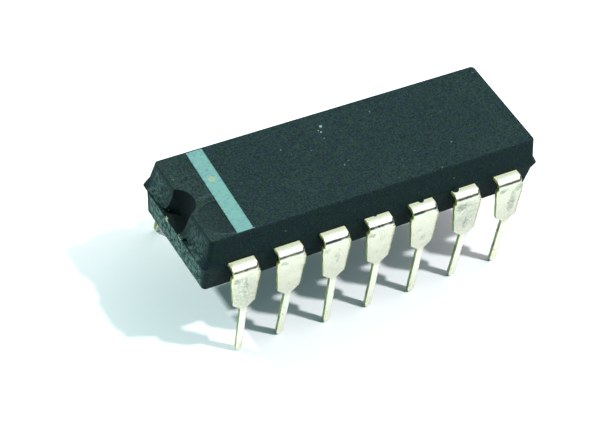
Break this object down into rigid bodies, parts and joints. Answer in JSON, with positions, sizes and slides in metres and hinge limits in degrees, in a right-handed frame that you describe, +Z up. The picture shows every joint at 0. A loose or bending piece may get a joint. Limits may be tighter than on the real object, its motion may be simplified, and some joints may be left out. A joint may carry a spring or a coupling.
{
  "type": "dual in-line integrated circuit",
  "caption": "Black moulded chip package with two rows of bent tinned leads, an end notch, a round mould mark and a pale printed bar over its top at the first lead.",
  "frame": {"origin": "on the floor plane under the middle of the package, at the level of the pin tips", "axes": "+X along the package away from its notched end, +Y towards the row with leads 8 to 14, +Z up out of the printed face"},
  "size_m": [0.0192, 0.009, 0.0074],
  "materials": {
    "moulding": "matt moulded epoxy, finely speckled",
    "ink": "dull printed ink with ragged edges",
    "lead_plating": "aged tin plating over copper alloy",
    "lead_frame_metal": "bare copper alloy sheet",
    "adhesive": "silver-filled adhesive",
    "silicon": "polished silicon",
    "wire": "drawn gold wire"
  },
  "bodies": {
    "root": {"package_body": "moulding", "index_stripe": "ink", "lead_1": "lead_plating", "lead_2": "lead_plating", "lead_3": "lead_plating", "lead_4": "lead_plating", "lead_5": "lead_plating", "lead_6": "lead_plating", "lead_7": "lead_plating", "lead_8": "lead_plating", "lead_9": "lead_plating", "lead_10": "lead_plating", "lead_11": "lead_plating", "lead_12": "lead_plating", "lead_13": "lead_plating", "lead_14": "lead_plating", "die_pad": "lead_frame_metal", "die_attach": "adhesive", "die": "silicon", "bond_wire_1": "wire", "bond_wire_2": "wire", "bond_wire_3": "wire", "bond_wire_4": "wire", "bond_wire_5": "wire", "bond_wire_6": "wire", "bond_wire_7": "wire", "bond_wire_8": "wire", "bond_wire_9": "wire", "bond_wire_10": "wire", "bond_wire_11": "wire", "bond_wire_12": "wire", "bond_wire_13": "wire", "bond_wire_14": "wire"}
  },
  "joints": []
}
